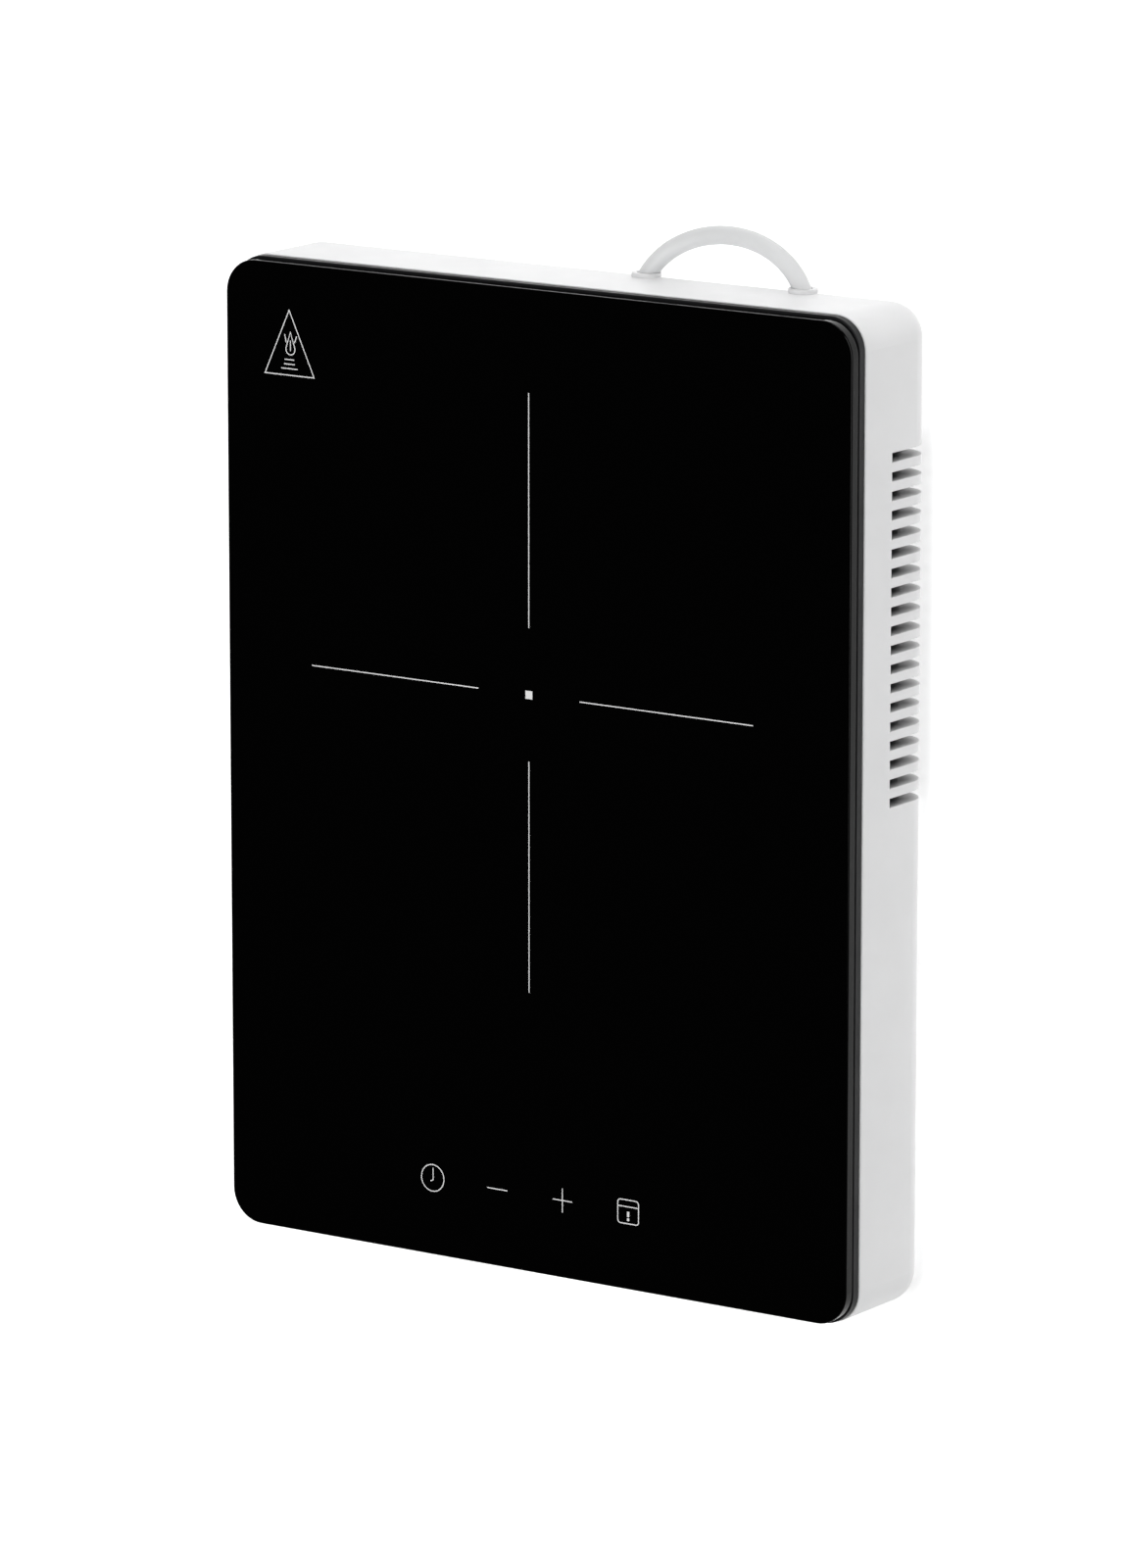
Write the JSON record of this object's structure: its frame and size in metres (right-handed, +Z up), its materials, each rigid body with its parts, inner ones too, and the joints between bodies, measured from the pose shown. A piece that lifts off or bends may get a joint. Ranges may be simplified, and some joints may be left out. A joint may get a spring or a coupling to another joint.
{
  "type": "portable induction cooktop",
  "caption": "Portable induction cooktop: black glass top with a printed cross hair and touch keys, white vented housing, rear hanging loop, and coil, fan and boards inside.",
  "frame": {"origin": "centre of the whole box, hanging loop included, on the plane that the feet stand on", "axes": "+Z up, out of the glass; +Y towards the rear end with the hanging loop; +X to the right of someone at the keys"},
  "size_m": [0.27, 0.3834, 0.057],
  "materials": {
    "black_glass": "polished black ceramic glass",
    "white_enamel": "fired white print",
    "black_silicone": "soft sealing bead",
    "black_plastic": "fine satin moulding",
    "white_plastic": "fine satin moulding",
    "grey_rubber": "matt moulded rubber",
    "black_rubber": "matt moulded rubber",
    "loop_rubber": "satin moulded elastomer",
    "steel": "zinc plated",
    "nylon": "natural moulding",
    "former_plastic": "heat resisting moulding",
    "copper": "enamelled stranded wire",
    "ferrite": "sintered, dull",
    "mica": "pressed mica sheet",
    "red_silicone": "soft moulding",
    "epoxy_orange": "dipped bead",
    "circuit_board": "solder mask",
    "aluminium": "extruded",
    "epoxy_black": "moulded epoxy",
    "capacitor_film": "moulded box",
    "capacitor_yellow": "moulded box",
    "fuse_glass": "glass cartridge",
    "varistor_blue": "dipped disc",
    "sleeve_dark": "shrunk sleeve",
    "terminal_green": "moulded block",
    "display_dark": "tinted resin",
    "lead_sleeve": "wire sleeving"
  },
  "bodies": {
    "cooktop": {"glass_plate": "black_glass", "zone_print": "white_enamel", "key_print": "white_enamel", "glass_gasket": "black_silicone", "glass_frame": "black_plastic", "housing": "white_plastic", "rubber_feet": "grey_rubber", "housing_screws": "steel", "hanging_loop": "loop_rubber", "loop_collars": "white_plastic", "cord_grommet": "black_rubber", "cord_clamp": "nylon", "cord_clamp_screws": "steel", "coil_former": "former_plastic", "coil_winding": "copper", "ferrite_bars": "ferrite", "insulation_sheet": "mica", "coil_springs": "steel", "coil_screws": "steel", "sensor_cap": "red_silicone", "thermistor": "epoxy_orange", "fan_frame": "black_plastic", "fan_stator": "copper", "fan_screws": "steel", "air_duct": "black_plastic", "power_board": "circuit_board", "board_screws": "steel", "heatsink": "aluminium", "power_transistor": "epoxy_black", "bridge_rectifier": "epoxy_black", "device_screws": "steel", "resonant_capacitor": "capacitor_film", "bus_capacitor": "capacitor_film", "filter_capacitor": "capacitor_yellow", "filter_choke": "ferrite", "supply_transformer": "capacitor_film", "mains_fuse": "fuse_glass", "varistor": "varistor_blue", "round_capacitors": "sleeve_dark", "terminal_block": "terminal_green", "ribbon_sockets": "nylon", "control_carrier": "nylon", "carrier_screws": "steel", "control_board": "circuit_board", "touch_springs": "steel", "led_display": "display_dark", "microcontroller": "epoxy_black", "buzzer": "epoxy_black", "coil_leads": "lead_sleeve", "mains_leads": "lead_sleeve", "ribbon_cable": "lead_sleeve"},
    "rotor": {"fan_rotor": "black_plastic", "rotor_magnet": "ferrite"}
  },
  "joints": [
    {"name": "fan_spin", "type": "hinge", "parent": "cooktop", "child": "rotor", "pos_m": [-0.072, 0.08978, 0.014], "axis": [0, 0, 1], "continuous": true}
  ]
}
